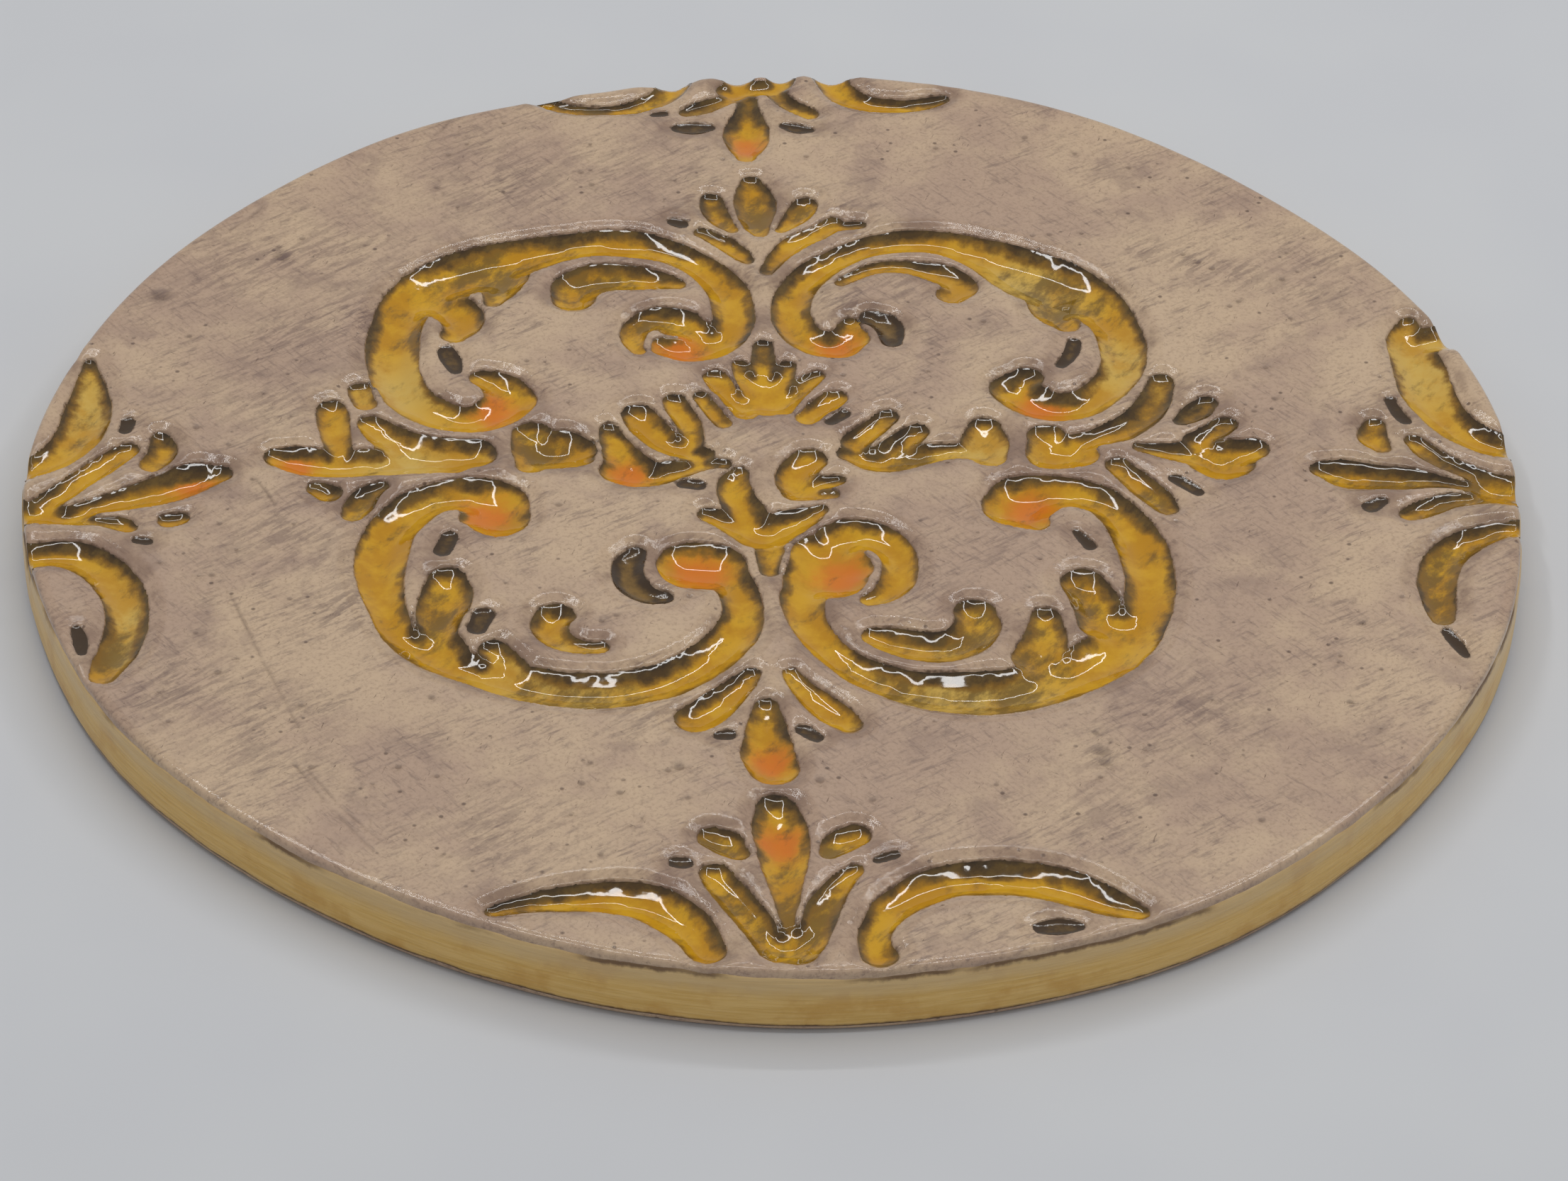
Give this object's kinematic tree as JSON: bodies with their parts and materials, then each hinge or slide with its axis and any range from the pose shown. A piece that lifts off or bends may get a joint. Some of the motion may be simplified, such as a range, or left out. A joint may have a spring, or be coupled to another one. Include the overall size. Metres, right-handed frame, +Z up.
{
  "type": "glazed ceramic trivet",
  "caption": "Round hand-made ceramic trivet: a thick clay disc with a damask ornament pressed into its face and glossy coloured glaze in the recesses.",
  "frame": {"origin": "middle of the underside, the point the disc rests on", "axes": "+Z up out of the decorated face; +Y towards the ornament's upper palmette; +X to the right of it"},
  "size_m": [0.184, 0.1816, 0.009],
  "materials": {
    "clay": "matte stained stoneware",
    "slip": "brushed ochre slip, satin",
    "honey_glaze": "gloss, translucent honey to orange",
    "dark_glaze": "gloss, thin dark brown"
  },
  "bodies": {
    "root": {"clay_slab": "clay", "glaze_east_palmette": "honey_glaze", "glaze_east_palmette_bud": "honey_glaze", "glaze_east_palmette_leaf": "honey_glaze", "glaze_east_palmette_top": "honey_glaze", "glaze_east_rim_bud": "honey_glaze", "glaze_east_rim_leaf": "honey_glaze", "glaze_east_rim_lower_arc": "honey_glaze", "glaze_east_rim_marks": "dark_glaze", "glaze_east_rim_upper_arc": "honey_glaze", "glaze_north_east_bud": "honey_glaze", "glaze_north_east_hook": "dark_glaze", "glaze_north_east_scroll": "honey_glaze", "glaze_north_east_speck": "dark_glaze", "glaze_north_palmette_bud": "honey_glaze", "glaze_north_palmette_fork": "honey_glaze", "glaze_north_palmette_sides": "honey_glaze", "glaze_north_palmette_stem": "honey_glaze", "glaze_north_rim_bud": "honey_glaze", "glaze_north_rim_left_arc": "honey_glaze", "glaze_north_rim_marks": "dark_glaze", "glaze_north_rim_right_arc": "honey_glaze", "glaze_north_west_bud": "honey_glaze", "glaze_north_west_scroll": "honey_glaze", "glaze_north_west_speck": "dark_glaze", "glaze_palmette_marks": "dark_glaze", "glaze_rosette_east": "honey_glaze", "glaze_rosette_marks": "dark_glaze", "glaze_rosette_north": "honey_glaze", "glaze_rosette_north_leaf": "honey_glaze", "glaze_rosette_south": "honey_glaze", "glaze_rosette_south_east": "honey_glaze", "glaze_rosette_west": "honey_glaze", "glaze_rosette_west_leaf": "honey_glaze", "glaze_south_east_bud": "honey_glaze", "glaze_south_east_scroll": "honey_glaze", "glaze_south_east_speck": "dark_glaze", "glaze_south_palmette_bud": "honey_glaze", "glaze_south_palmette_sides": "honey_glaze", "glaze_south_rim_bud": "honey_glaze", "glaze_south_rim_leaves": "honey_glaze", "glaze_south_rim_left_arc": "honey_glaze", "glaze_south_rim_marks": "dark_glaze", "glaze_south_rim_right_arc": "honey_glaze", "glaze_south_west_bud": "honey_glaze", "glaze_south_west_hook": "dark_glaze", "glaze_south_west_scroll": "honey_glaze", "glaze_south_west_spots": "dark_glaze", "glaze_west_bead": "honey_glaze", "glaze_west_palmette": "honey_glaze", "glaze_west_palmette_leaves": "honey_glaze", "glaze_west_rim_bud": "honey_glaze", "glaze_west_rim_leaves": "honey_glaze", "glaze_west_rim_lower_arc": "honey_glaze", "glaze_west_rim_marks": "dark_glaze", "glaze_west_rim_upper_arc": "honey_glaze", "rim_slip_band": "slip"}
  },
  "joints": []
}
